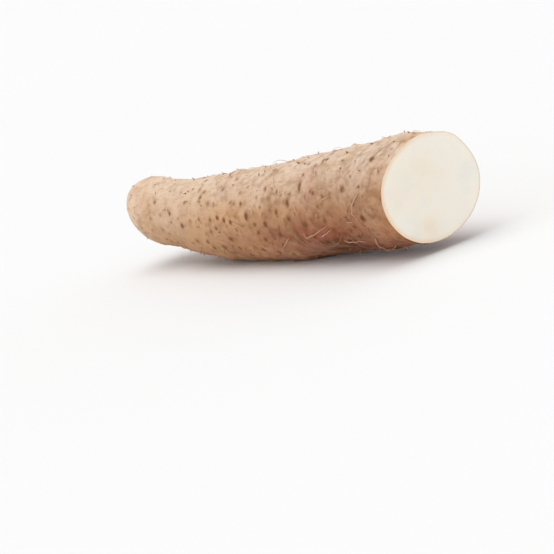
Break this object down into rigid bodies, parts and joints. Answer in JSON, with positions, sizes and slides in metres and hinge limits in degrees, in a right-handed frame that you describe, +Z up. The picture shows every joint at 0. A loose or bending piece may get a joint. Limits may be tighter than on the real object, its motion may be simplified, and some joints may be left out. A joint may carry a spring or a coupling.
{
  "type": "cut yam tuber",
  "caption": "Long piece of yam lying on its belly, with a rounded far end, a slanted cut showing pale flesh, and brown skin with root stubs and rootlets.",
  "frame": {"origin": "middle of the flat spot on the belly that the tuber rests on", "axes": "+X along the tuber from its rounded far end towards the cut, +Z up from the resting surface"},
  "size_m": [0.3062, 0.0612, 0.0674],
  "materials": {
    "skin": "matt brown skin with dark root scars",
    "flesh": "moist cream-white cut flesh",
    "rootlet": "dry brown and pinkish rootlets"
  },
  "bodies": {
    "root": {"tuber": "skin"}
  },
  "joints": []
}
